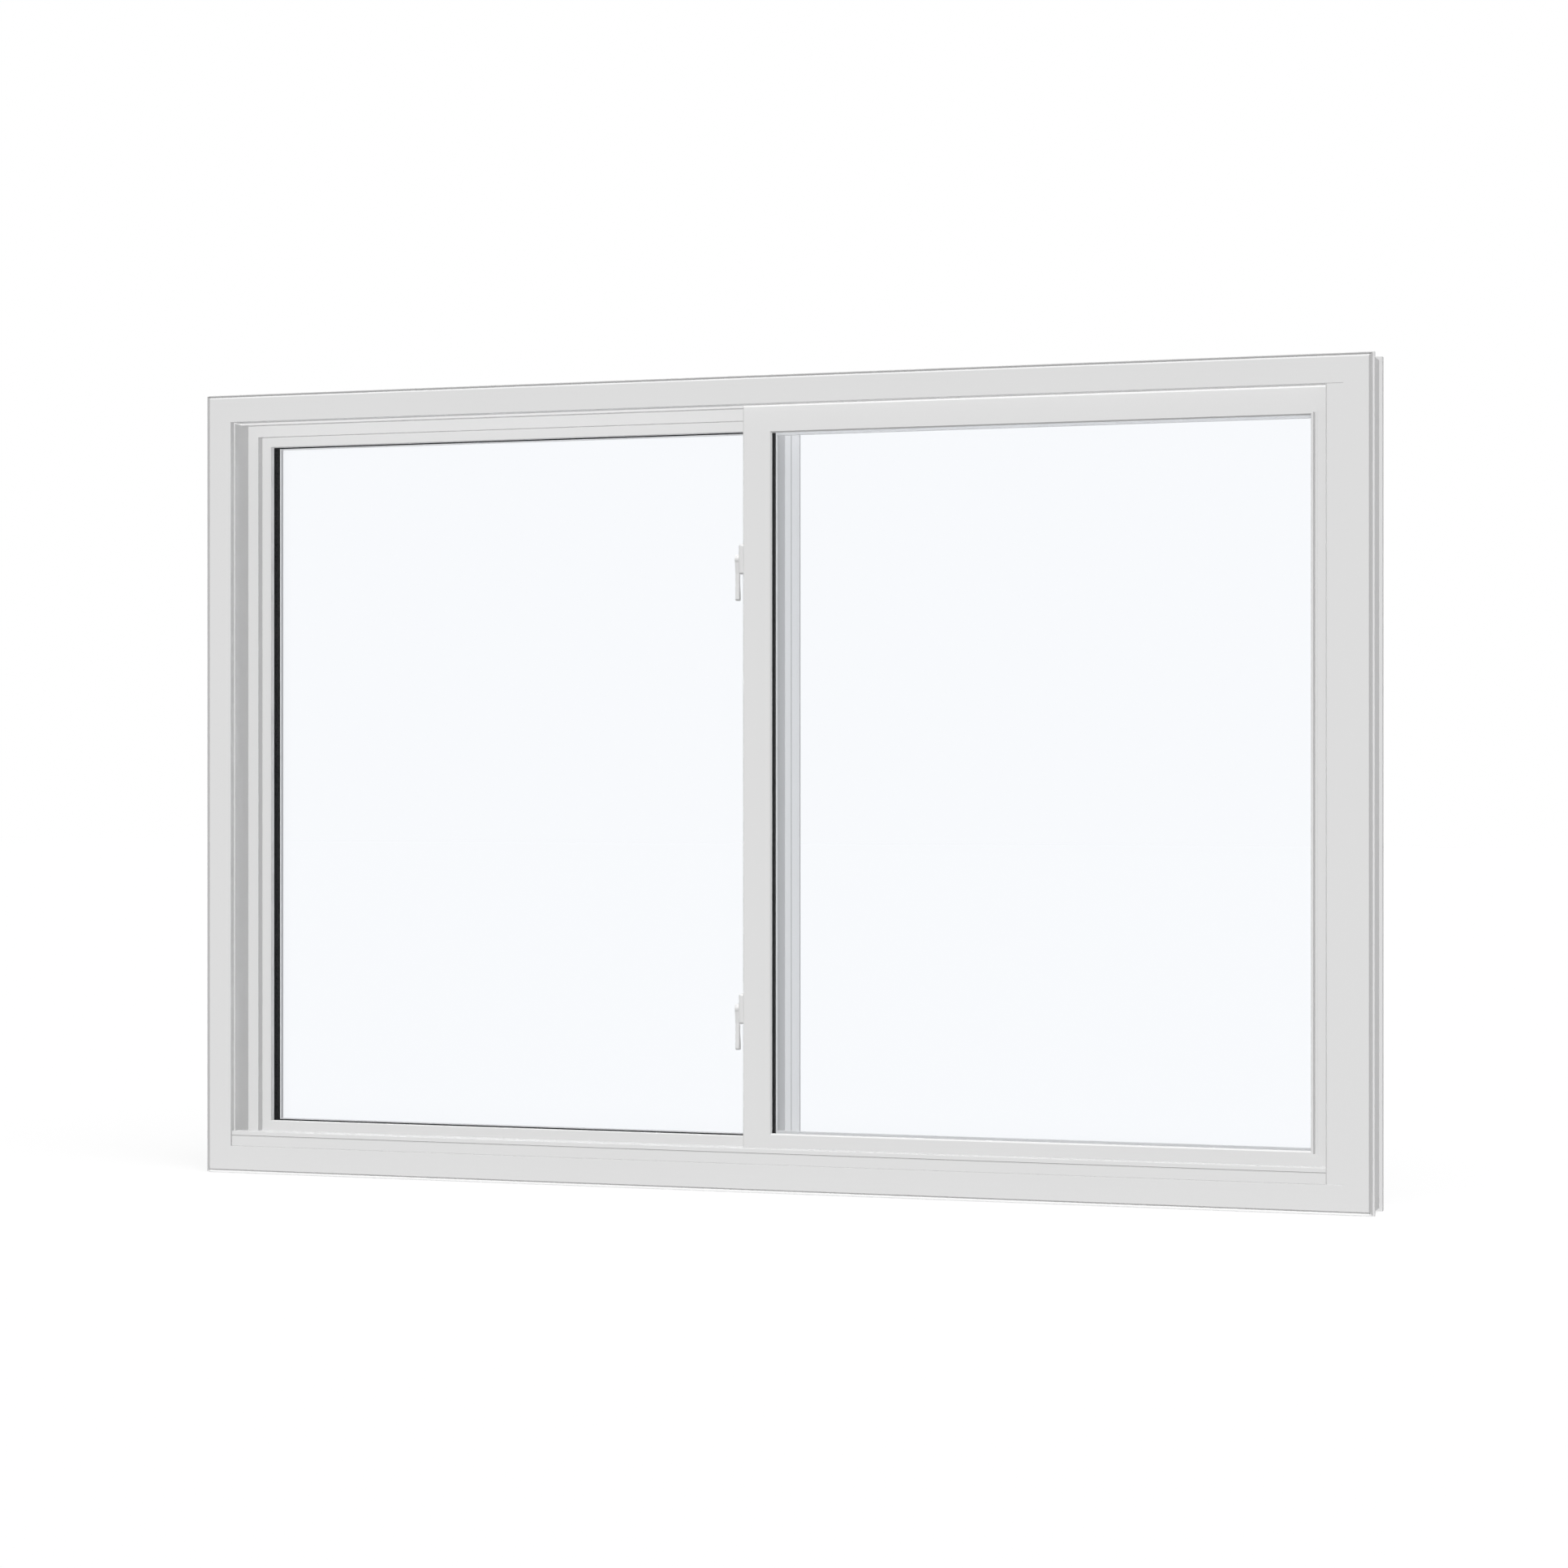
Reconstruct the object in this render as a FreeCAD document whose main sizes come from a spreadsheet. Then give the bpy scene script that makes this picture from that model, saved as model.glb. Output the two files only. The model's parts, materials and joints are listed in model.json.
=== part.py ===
"""Horizontal sliding window: a white vinyl frame, one fixed sash and one sliding sash.

Seen from the room: +X runs to the right, +Y runs outdoors and +Z runs up.
The origin is on the sill's underside, midway along the width and the depth.
Sizes are in millimetres.
"""

import FreeCAD, Part
import math
import os
import re
import Sketcher

doc = FreeCAD.newDocument("SlidingWindow")

# Driving dimensions. In every section, "depth" counts outdoors from the room face and
# "rise" counts from the outer edge of the frame or sash towards its glass.
SIZES = {
    # whole unit
    "frame_width": 1816,
    "frame_height": 1206.5,
    # frame section
    "rim_inset": 2,
    "rim_setback": 0.4,
    "rim_depth": 6,
    "vee_width": 4.4,
    "vee_sink": 2.2,
    "lip_width": 42.5,
    "flange_start": 9,
    "flange_thickness": 6,
    "neck_inset": 4.5,
    "fin_start": 73,
    "fin_thickness": 10,
    "rear_inset": 6.5,
    "ledge_start": 11,
    "ledge_width": 2,
    "divider_gap": 0.5,
    "divider_thickness": 14,
    "divider_reach": 17.2,
    "outer_lip": 3,
    "guide_start": 27,
    "guide_width": 11,
    "guide_sink": 10.5,
    "track_width": 4,
    "track_rise": 10,
    # covers snapped into the sill and the closing jamb
    "cover_wall": 2.5,
    "cover_gap": 1,
    "dam_setback": 4,
    "dam_rise": 23,
    "dam_line_drop": 6.4,
    "dam_line_width": 1.2,
    "filler_width": 25,
    "filler_bevel": 2.4,
    "filler_bevel_depth": 3,
    "filler_gap": 0.7,
    # glass
    "pane": 3,
    "gasket": 1.5,
    "glass_bite": 11,
    "edge_room": 1.5,
    "spacer_bar": 8,
    "fixed_spacer_show": 0,
    "slide_spacer_show": 0,
    "slide_spacer_drop": 2,
    # fixed sash
    "fixed_face": 32.3,
    "fixed_reveal": 10.5,
    "fixed_cavity": 17,
    "fixed_bevel": 0.5,
    "fixed_back": 7,
    "fixed_back_show": 1.2,
    "fixed_edge": 0,
    "interlock_width": 32,
    "interlock_overhang": 11.5,
    "interlock_depth": 12,
    "fin_channel_start": 22.5,
    "fin_channel_wall": 3,
    "fin_channel_reach": 22.8,
    "fin_channel_lip": 2,
    "fin_channel_line": 9.5,
    "line_sink": 0.8,
    "line_width": 1,
    # sliding sash
    "slide_start": 23,
    "slide_back": 7.5,
    "slide_back_show": 2,
    "meeting_overlap": 32,
    "closing_gap": 0.6,
    "slide_gap": 0.8,
    "slide_lift": 3.5,
    "stile_face": 45,
    "rail_face": 40.8,
    "slide_reveal": 4,
    "slide_cavity": 13,
    "slide_bevel": 2,
    "edge_channel_start": 5,
    "edge_channel_width": 9,
    "edge_channel_sink": 9,
    "roller_channel_sink": 24,
    "tongue_width": 8,
    "tongue_rise": 8,
    "tongue_drop": 2.5,
    "pull_proud": 11.5,
    "pull_thickness": 4.2,
    "pull_round": 1,
    "pull_line_gap": 2.8,
    # rollers
    "roller_radius": 8,
    "roller_groove": 2,
    "roller_width": 7,
    "roller_flange": 1.3,
    "axle_radius": 2.5,
    "roller_inset": 110,
    "roller_clear": 0.1,
    # latches
    "latch_spacing": 667,
    "latch_setback": 12.3,
    "latch_height": 45,
    "latch_width": 18,
    "latch_thickness": 8.3,
    "latch_round": 3.5,
    "hub_radius": 7.2,
    "lever_thickness": 6.6,
    "lever_length": 61.5,
    "lever_shoulder": 6.5,
    "lever_neck": 22,
    "lever_bend": 36,
    "lever_waist": 5,
    "lever_lean": 1,
    "lever_foot_room": 4.4,
    "lever_foot_back": 5.5,
    "lever_tip": 2,
    "lever_round": 1.4,
}

sheet = doc.addObject("Spreadsheet::Sheet", "Sizes")
for row, (alias, value) in enumerate(SIZES.items(), start=1):
    sheet.set(f"A{row}", alias)
    sheet.set(f"B{row}", str(value))
    sheet.setAlias(f"B{row}", alias)
doc.recompute()

# Places worked out from the driving dimensions, as expressions on the sheet.
TERMS = {
    "frame_depth": "(pocket_end + outer_lip)",
    "front": "(-frame_depth / 2)",
    "jamb_floor": "(lip_width + ledge_width)",
    "divider_edge": "(jamb_floor + divider_reach)",
    "divider_start": "(slide_start + slide_depth + divider_gap)",
    "pocket_start": "(divider_start + divider_thickness)",
    "pocket_end": "(pocket_start + fixed_depth)",
    "fixed_depth": "(fixed_reveal + gasket + fixed_unit + fixed_back)",
    "fixed_glass": "(pocket_start + fixed_reveal + gasket)",
    "fixed_left": "(-frame_width / 2 + jamb_floor)",
    "fixed_bottom": "jamb_floor",
    "fixed_top": "(frame_height - jamb_floor)",
    "fixed_unit": "(2 * pane + fixed_cavity)",
    "slide_depth": "(slide_reveal + gasket + slide_unit + slide_back)",
    "slide_unit": "(2 * pane + slide_cavity)",
    "slide_glass": "(slide_start + slide_reveal + gasket)",
    "slide_left": "(fixed_edge - meeting_overlap)",
    "slide_right": "(frame_width / 2 - jamb_floor - closing_gap)",
    "slide_bottom": "(lip_width + slide_lift)",
    "slide_top": "(frame_height - lip_width - slide_gap)",
    "cover_end": "(slide_start - cover_gap)",
    "latch_depth": "(slide_start + latch_setback)",
    "track_middle": "(slide_start + edge_channel_start + edge_channel_width / 2)",
    "roller_axis": "(lip_width + track_rise + roller_clear + roller_radius - roller_groove)",
}


def on_sheet(text):
    """Spells out an expression: terms become formulas, aliases point at the sheet."""
    def spelled(match):
        word = match.group(0)
        if word in TERMS:
            return on_sheet(TERMS[word])
        return f"Sizes.{word}" if word in SIZES else word
    return re.sub(r"[a-z_]+[a-z]", spelled, text)


def bind(item, **properties):
    """Binds properties to expressions; a double underscore stands for a dot."""
    for name, text in properties.items():
        item.setExpression(name.replace("__", "."), on_sheet(text))


def place(item, x, y, z, turn=0.0):
    """Puts a finished piece in the frame, turned about +Y by whole quarter turns."""
    item.Placement = FreeCAD.Placement(FreeCAD.Vector(), FreeCAD.Rotation(FreeCAD.Vector(0, 1, 0), turn))
    bind(item, Placement__Base__x=x, Placement__Base__y=y, Placement__Base__z=z)


def new_body(label):
    """Starts a body whose label names the piece."""
    body = doc.addObject("PartDesign::Body", label)
    body.Label = label
    return body


def outline(body, plane, *loops):
    """Draws closed straight-sided loops, every corner held by two bound distances."""
    sketch = body.newObject("Sketcher::SketchObject", "outline")
    support = next(f for f in body.Origin.OriginFeatures if f.Role == plane)
    sketch.AttachmentSupport = [(support, "")]
    sketch.MapMode = "FlatFace"
    for corners in loops:
        first = sketch.GeometryCount
        count = len(corners)
        ring = [FreeCAD.Vector(math.cos(math.tau * i / count), math.sin(math.tau * i / count), 0)
                for i in range(count)]
        for i in range(count):
            sketch.addGeometry(Part.LineSegment(ring[i], ring[(i + 1) % count]), False)
        for i in range(count):
            here, after = first + i, first + (i + 1) % count
            sketch.addConstraint(Sketcher.Constraint("Coincident", here, 2, after, 1))
        for i, (across, up) in enumerate(corners):
            for kind, start, text in (("DistanceX", ring[i].x, across), ("DistanceY", ring[i].y, up)):
                made = sketch.addConstraint(Sketcher.Constraint(kind, -1, 1, first + i, 1, start))
                sketch.setExpression(f"Constraints[{made}]", on_sheet(text))
    return sketch


def disc(body, plane, radius):
    """Draws a circle about the body's origin."""
    sketch = body.newObject("Sketcher::SketchObject", "disc")
    support = next(f for f in body.Origin.OriginFeatures if f.Role == plane)
    sketch.AttachmentSupport = [(support, "")]
    sketch.MapMode = "FlatFace"
    sketch.addGeometry(Part.Circle(FreeCAD.Vector(), FreeCAD.Vector(0, 0, 1), 1), False)
    sketch.addConstraint(Sketcher.Constraint("Coincident", 0, 3, -1, 1))
    made = sketch.addConstraint(Sketcher.Constraint("Radius", 0, 1))
    sketch.setExpression(f"Constraints[{made}]", on_sheet(radius))
    return sketch


def pad(body, sketch, length):
    """Pads a sketch evenly to both sides of its plane."""
    feature = body.newObject("PartDesign::Pad", "pad")
    feature.Profile = sketch
    feature.SideType = "Symmetric"
    bind(feature, Length=length)
    return feature


def pocket_through(body, sketch):
    """Cuts a sketch right through the body, to both sides of its plane."""
    feature = body.newObject("PartDesign::Pocket", "pocket")
    feature.Profile = sketch
    feature.Type = "ThroughAll"
    feature.SideType = "Symmetric"
    return feature


def lineal(label, section, length, mitre):
    """Makes an extrusion along X from a (depth, rise) section, its ends cut to a mitre.

    mitre is the corner's (run along the length, rise across the section). The cut goes on
    to twice that rise, so that it clears whatever stands past the face.
    """
    body = new_body(label)
    pad(body, outline(body, "YZ_Plane", section), length)
    run, rise = mitre
    reach = 2
    ends = [[(f"{sign} * ({length}) / 2", "0"),
             (f"{sign} * ({length}) / 2", f"{reach} * {rise}"),
             (f"{sign} * (({length}) / 2 - {reach} * {run})", f"{reach} * {rise}")]
            for sign in (-1, 1)]
    pocket_through(body, outline(body, "XZ_Plane", *ends))
    return body


def frame_section(*track):
    """Section of a frame member; track is the stretch between the divider and the room lip."""
    return [
        ("0", "rim_inset + vee_width"),
        ("vee_sink", "rim_inset + vee_width / 2"),
        ("rim_setback", "rim_inset"),
        ("rim_depth", "rim_inset"),
        ("rim_depth", "neck_inset"),
        ("flange_start", "neck_inset"),
        ("flange_start", "0"),
        ("flange_start + flange_thickness", "0"),
        ("flange_start + flange_thickness", "neck_inset"),
        ("fin_start", "neck_inset"),
        ("fin_start", "0"),
        ("fin_start + fin_thickness", "0"),
        ("fin_start + fin_thickness", "rear_inset"),
        ("frame_depth", "rear_inset"),
        ("frame_depth", "divider_edge"),
        ("pocket_end", "divider_edge"),
        ("pocket_end", "jamb_floor"),
        ("pocket_start", "jamb_floor"),
        ("pocket_start", "divider_edge"),
        ("divider_start", "divider_edge"),
        *track,
        ("0", "lip_width"),
    ]


def make_frame():
    """The outer frame: four mitred members whose sections differ only in the room track."""
    jamb = frame_section(
        ("divider_start", "jamb_floor"),
        ("ledge_start", "jamb_floor"),
        ("ledge_start", "lip_width"))
    head = frame_section(
        ("divider_start", "jamb_floor"),
        ("guide_start + guide_width", "jamb_floor"),
        ("guide_start + guide_width", "lip_width - guide_sink"),
        ("guide_start", "lip_width - guide_sink"),
        ("guide_start", "lip_width"))
    sill = frame_section(
        ("divider_start", "lip_width"),
        ("track_middle + track_width / 2", "lip_width"),
        ("track_middle + track_width / 2", "lip_width + track_rise"),
        ("track_middle - track_width / 2", "lip_width + track_rise"),
        ("track_middle - track_width / 2", "lip_width"))
    even = ("frame_depth", "frame_depth")
    place(lineal("frame_sill", sill, "frame_width", even), "0", "front", "0")
    place(lineal("frame_head", head, "frame_width", even), "0", "front", "frame_height", 180)
    middle = "frame_height / 2"
    place(lineal("frame_jamb_left", jamb, "frame_height", even), "-frame_width / 2", "front", middle, 90)
    place(lineal("frame_jamb_right", jamb, "frame_height", even), "frame_width / 2", "front", middle, -90)


def make_covers():
    """The dam along the sill and the filler down the closing jamb, both snapped-in channels."""
    dam_top = "lip_width + dam_rise"
    line_top = f"{dam_top} - dam_line_drop"
    dam = new_body("sill_dam")
    section = [
        ("dam_setback", "lip_width"),
        ("dam_setback", f"{line_top} - dam_line_width"),
        ("dam_setback + dam_line_width", f"{line_top} - dam_line_width"),
        ("dam_setback + dam_line_width", line_top),
        ("dam_setback", line_top),
        ("dam_setback", dam_top),
        ("cover_end", dam_top),
        ("cover_end", "lip_width"),
        ("cover_end - cover_wall", "lip_width"),
        ("cover_end - cover_wall", f"{dam_top} - cover_wall"),
        ("dam_setback + cover_wall", f"{dam_top} - cover_wall"),
        ("dam_setback + cover_wall", "lip_width"),
    ]
    dam_length = "(frame_width - 2 * lip_width - filler_width)"
    pad(dam, outline(dam, "YZ_Plane", section), dam_length)
    clear_of_ledge = [
        (f"-{dam_length} / 2", "ledge_start"),
        (f"-{dam_length} / 2 + ledge_width", "ledge_start"),
        (f"-{dam_length} / 2 + ledge_width", "frame_depth"),
        (f"-{dam_length} / 2", "frame_depth"),
    ]
    pocket_through(dam, outline(dam, "XY_Plane", clear_of_ledge))
    place(dam, "-filler_width / 2", "front", "0")

    filler = new_body("jamb_filler")
    edge = "lip_width + filler_width"
    section = [
        ("0", "lip_width"),
        ("0", f"{edge} - filler_bevel"),
        ("filler_bevel_depth", edge),
        ("cover_end", edge),
        ("cover_end", f"{edge} - cover_wall"),
        ("cover_wall", f"{edge} - cover_wall"),
        ("cover_wall", "jamb_floor + cover_wall"),
        ("cover_end", "jamb_floor + cover_wall"),
        ("cover_end", "jamb_floor"),
        ("ledge_start", "jamb_floor"),
        ("ledge_start", "lip_width"),
    ]
    pad(filler, outline(filler, "YZ_Plane", section), "frame_height - 2 * (lip_width + filler_gap)")
    place(filler, "frame_width / 2", "front", "frame_height / 2", -90)


def glazing_edge(sash, face):
    """The stretch of a sash section round its glass, from the outdoor face to the room face."""
    depth, reveal, unit = f"{sash}_depth", f"{sash}_reveal", f"{sash}_unit"
    bevel, show = f"{sash}_bevel", f"{sash}_back_show"
    floor = f"{face} - glass_bite - edge_room"
    return [
        (depth, f"{face} + {show}"),
        (f"{reveal} + gasket + {unit}", f"{face} + {show}"),
        (f"{reveal} + gasket + {unit}", floor),
        (reveal, floor),
        (reveal, face),
        (bevel, face),
        ("0", f"{face} - {bevel}"),
    ]


def make_fixed_sash():
    """The fixed sash, held between the divider and the outdoor lip."""
    edge = glazing_edge("fixed", "fixed_face")
    plain = [("0", "0"), ("fixed_depth", "0"), *edge]
    channel_end = "fin_channel_start + fin_channel_wall"
    flange_edge = "-interlock_overhang - fin_channel_reach"
    meeting = [
        ("0", "-interlock_overhang"),
        ("fin_channel_start", "-interlock_overhang"),
        ("fin_channel_start", "-interlock_overhang - fin_channel_line"),
        ("fin_channel_start + line_sink", "-interlock_overhang - fin_channel_line"),
        ("fin_channel_start + line_sink", "-interlock_overhang - fin_channel_line - line_width"),
        ("fin_channel_start", "-interlock_overhang - fin_channel_line - line_width"),
        ("fin_channel_start", flange_edge),
        (f"{channel_end} + fin_channel_lip", flange_edge),
        (f"{channel_end} + fin_channel_lip", f"{flange_edge} + fin_channel_wall"),
        (channel_end, f"{flange_edge} + fin_channel_wall"),
        (channel_end, "-interlock_overhang"),
        ("fixed_depth", "-interlock_overhang"),
        *edge,
    ]
    width = "(fixed_edge - fixed_left)"
    height = "(fixed_top - fixed_bottom)"
    even = ("fixed_face", "fixed_face")
    back = "front + pocket_start"
    middle_x = "(fixed_left + fixed_edge) / 2"
    middle_z = "(fixed_bottom + fixed_top) / 2"
    place(lineal("fixed_bottom_rail", plain, width, even), middle_x, back, "fixed_bottom")
    place(lineal("fixed_top_rail", plain, width, even), middle_x, back, "fixed_top", 180)
    place(lineal("fixed_left_stile", plain, height, even), "fixed_left", back, middle_z, 90)
    place(lineal("fixed_meeting_stile", meeting, height, even), "fixed_edge", back, middle_z, -90)

    interlock = doc.addObject("Part::Box", "fixed_interlock")
    interlock.Label = "fixed_interlock"
    bind(interlock, Length="interlock_width", Width="interlock_depth",
         Height="frame_height - 2 * divider_edge")
    place(interlock, "fixed_edge + interlock_overhang - interlock_width",
          "front + pocket_start - interlock_depth", "divider_edge")


def make_sliding_sash():
    """The sliding sash: a tongue in the head guide, rollers on the sill track, a pull on one stile."""
    channel = [
        ("slide_depth", "tongue_drop"),
        ("edge_channel_start + edge_channel_width", "tongue_drop"),
        ("edge_channel_start + edge_channel_width", "edge_channel_sink"),
        ("edge_channel_start", "edge_channel_sink"),
        ("edge_channel_start", "0"),
        ("slide_bevel", "0"),
        ("0", "slide_bevel"),
    ]
    roller_channel = [(depth, rise.replace("edge_channel_sink", "roller_channel_sink"))
                      for depth, rise in channel]
    tongue_start = "(guide_start + guide_width / 2 - tongue_width / 2 - slide_start)"
    tongue = [
        ("slide_depth", "tongue_drop"),
        (f"{tongue_start} + tongue_width", "tongue_drop"),
        (f"{tongue_start} + tongue_width", "-tongue_rise"),
        (tongue_start, "-tongue_rise"),
        (tongue_start, "0"),
        ("slide_bevel", "0"),
        ("0", "slide_bevel"),
    ]

    def edge(face):
        return list(reversed(glazing_edge("slide", face)))

    pull_foot = "stile_face - pull_thickness"
    line = f"{pull_foot} - pull_line_gap"
    pull = [
        ("0", f"{line} - line_width"),
        ("line_sink", f"{line} - line_width"),
        ("line_sink", line),
        ("0", line),
        ("0", pull_foot),
        ("-pull_proud", f"{pull_foot} + pull_round"),
        ("-pull_proud", "stile_face - pull_round"),
        ("pull_round - pull_proud", "stile_face"),
        *edge("stile_face")[2:],
    ]
    width = "(slide_right - slide_left)"
    height = "(slide_top - slide_bottom)"
    rail_mitre = ("stile_face", "rail_face")
    stile_mitre = ("rail_face", "stile_face")
    room = "front + slide_start"
    middle_x = "(slide_left + slide_right) / 2"
    middle_z = "(slide_bottom + slide_top) / 2"
    place(lineal("slide_bottom_rail", roller_channel + edge("rail_face"), width, rail_mitre),
          middle_x, room, "slide_bottom")
    place(lineal("slide_top_rail", tongue + edge("rail_face"), width, rail_mitre),
          middle_x, room, "slide_top", 180)
    place(lineal("slide_meeting_stile", channel + edge("stile_face"), height, stile_mitre),
          "slide_left", room, middle_z, 90)
    place(lineal("slide_pull_stile", channel + pull, height, stile_mitre),
          "slide_right", room, middle_z, -90)


def box(name, x, y, z, length, width, height):
    """A plain block between bound corners."""
    item = doc.addObject("Part::Box", name)
    item.Label = name
    bind(item, Length=length, Width=width, Height=height)
    place(item, x, y, z)
    return item


def ring(label, left, right, bottom, top, bar, drop, depth, thickness):
    """A flat rectangular ring, bar wide, facing the room at a given depth.

    drop sets the inner edges of its top and bottom bars back towards the sash.
    """
    outer = box(f"{label}_outer", left, f"front + {depth}", bottom,
                f"({right}) - ({left})", thickness, f"({top}) - ({bottom})")
    inner = box(f"{label}_inner", f"({left}) + {bar}", f"front + {depth}", f"({bottom}) + {bar} - {drop}",
                f"({right}) - ({left}) - 2 * ({bar})", thickness,
                f"({top}) - ({bottom}) - 2 * ({bar} - {drop})")
    cut = doc.addObject("Part::Cut", label)
    cut.Label = label
    cut.Base = outer
    cut.Tool = inner


def make_glass(name, sides, faces, depth, cavity, show, drop):
    """A sealed unit: two panes on a dark spacer, bedded on a dark gasket.

    sides are the sash's left, right, bottom and top; faces are its stile and rail widths.
    show is how far the dark edge stands past the sash, less drop along the rails.
    """
    stile, rail = faces
    left, right, bottom, top = sides
    pane_sides = (f"{left} + {stile} - glass_bite", f"{right} - {stile} + glass_bite",
                  f"{bottom} + {rail} - glass_bite", f"{top} - {rail} + glass_bite")
    x0, x1, z0, z1 = pane_sides
    outer_depth = f"{depth} + pane + {cavity}"
    for part, at in (("inner_pane", depth), ("outer_pane", outer_depth)):
        box(f"{name}_{part}", x0, f"front + {at}", z0,
            f"({x1}) - ({x0})", "pane", f"({z1}) - ({z0})")
    bar = f"(glass_bite + {show})"
    ring(f"{name}_gasket", *pane_sides, bar, drop, f"{depth} - gasket", "gasket")
    inset = f"({bar} - spacer_bar)"
    ring(f"{name}_spacer", f"{x0} + {inset}", f"{x1} - {inset}", f"{z0} + {inset}", f"{z1} - {inset}",
         "spacer_bar", drop, f"{depth} + pane", cavity)


def make_rollers():
    """Two grooved wheels with their axles, standing on the sill track inside the bottom rail."""
    for side, x in (("left", "slide_left + roller_inset"), ("right", "slide_right - roller_inset")):
        body = new_body(f"roller_{side}")
        half = "roller_width / 2"
        lip = f"({half} - roller_flange)"
        axle = "edge_channel_width / 2"
        section = [
            (f"-{axle}", "0"),
            (axle, "0"),
            (axle, "axle_radius"),
            (half, "axle_radius"),
            (half, "roller_radius"),
            (lip, "roller_radius"),
            (lip, "roller_radius - roller_groove"),
            (f"-{lip}", "roller_radius - roller_groove"),
            (f"-{lip}", "roller_radius"),
            (f"-{half}", "roller_radius"),
            (f"-{half}", "axle_radius"),
            (f"-{axle}", "axle_radius"),
        ]
        sketch = outline(body, "YZ_Plane", section)
        wheel = body.newObject("PartDesign::Revolution", "wheel")
        wheel.Profile = sketch
        wheel.ReferenceAxis = (sketch, ["H_Axis"])
        wheel.Angle = 360
        place(body, x, "front + track_middle", "roller_axis")


def round_edges(body, base, chosen, radius, name):
    """Rounds the chosen edges of the last feature by a bound radius."""
    names = [f"Edge{i}" for i, edge in enumerate(base.Shape.Edges, start=1) if chosen(edge)]
    fillet = body.newObject("PartDesign::Fillet", name)
    fillet.Base = (base, names)
    bind(fillet, Radius=radius)
    doc.recompute()
    return fillet


def make_latch(level, middle):
    """A cam latch on the side of the sliding sash's meeting stile: a base and a hanging lever."""
    base = new_body(f"latch_{level}_base")
    half_width, half_height = "latch_width / 2", "latch_height / 2"
    plate = outline(base, "YZ_Plane", [
        (f"-{half_width}", f"-{half_height}"), (half_width, f"-{half_height}"),
        (half_width, half_height), (f"-{half_width}", half_height)])
    block = pad(base, plate, "latch_thickness")
    doc.recompute()
    round_edges(base, block, lambda edge: edge.BoundBox.XMin < 0, "latch_round", "soft_edges")
    place(base, "slide_left - latch_thickness / 2", "front + latch_depth", middle)

    lever = new_body(f"latch_{level}_lever")
    room_side = "(-lever_waist / 2 - lever_lean)"
    back_side = "(lever_waist / 2 - lever_lean)"
    arm = outline(lever, "YZ_Plane", [
        ("-lever_shoulder", "0"),
        (room_side, "-lever_neck"),
        (room_side, "-lever_bend"),
        ("-lever_foot_room", "-lever_length + lever_tip"),
        ("lever_tip - lever_foot_room", "-lever_length"),
        ("lever_foot_back - lever_tip", "-lever_length"),
        ("lever_foot_back", "-lever_length + lever_tip"),
        (back_side, "-lever_bend"),
        (back_side, "-lever_neck"),
        ("lever_waist / 2", "0"),
    ])
    bar = pad(lever, arm, "lever_thickness")
    doc.recompute()
    round_edges(lever, bar, lambda edge: edge.BoundBox.XLength > SIZES["lever_round"]
                and edge.BoundBox.ZMax < -SIZES["lever_round"], "lever_round", "swept_edges")
    pad(lever, disc(lever, "YZ_Plane", "hub_radius"), "lever_thickness")
    place(lever, "slide_left - latch_thickness - lever_thickness / 2", "front + latch_depth", middle)


def main():
    """Builds every piece, checks it and writes one file for each."""
    make_frame()
    make_covers()
    make_fixed_sash()
    make_sliding_sash()
    make_glass("fixed", ("fixed_left", "fixed_edge", "fixed_bottom", "fixed_top"),
               ("fixed_face", "fixed_face"), "fixed_glass", "fixed_cavity", "fixed_spacer_show", "0")
    make_glass("slide", ("slide_left", "slide_right", "slide_bottom", "slide_top"),
               ("stile_face", "rail_face"), "slide_glass", "slide_cavity",
               "slide_spacer_show", "slide_spacer_drop")
    make_rollers()
    make_latch("upper", "frame_height / 2 + latch_spacing / 2")
    make_latch("lower", "frame_height / 2 - latch_spacing / 2")
    doc.recompute()

    for item in doc.Objects:
        if {"Invalid", "Error"} & set(item.State):
            raise RuntimeError(f"{item.Label} failed: {item.State}")
    used = {child for item in doc.Objects if item.TypeId == "Part::Cut" for child in (item.Base, item.Tool)}
    kinds = ("PartDesign::Body", "Part::Box", "Part::Cut")
    pieces = [item for item in doc.Objects if item.TypeId in kinds and item not in used]
    for piece in pieces:
        shape = piece.Shape
        if shape.isNull() or not shape.isValid() or len(shape.Solids) != 1:
            raise RuntimeError(f"{piece.Label} is not one valid solid")

    os.makedirs("parts", exist_ok=True)
    for piece in pieces:
        piece.Shape.exportStep(f"parts/{piece.Label}.step")
    print(len(pieces), "pieces written")


main()
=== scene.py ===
"""Looks of a white vinyl horizontal sliding window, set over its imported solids.

The frame is the row's own: +X to the right seen from the room, +Y outdoors, +Z up, in metres.
"""

from __future__ import annotations

import json
import logging
import math
from dataclasses import dataclass, field
from enum import Enum
from typing import Any, Mapping, Optional, Union

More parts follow.
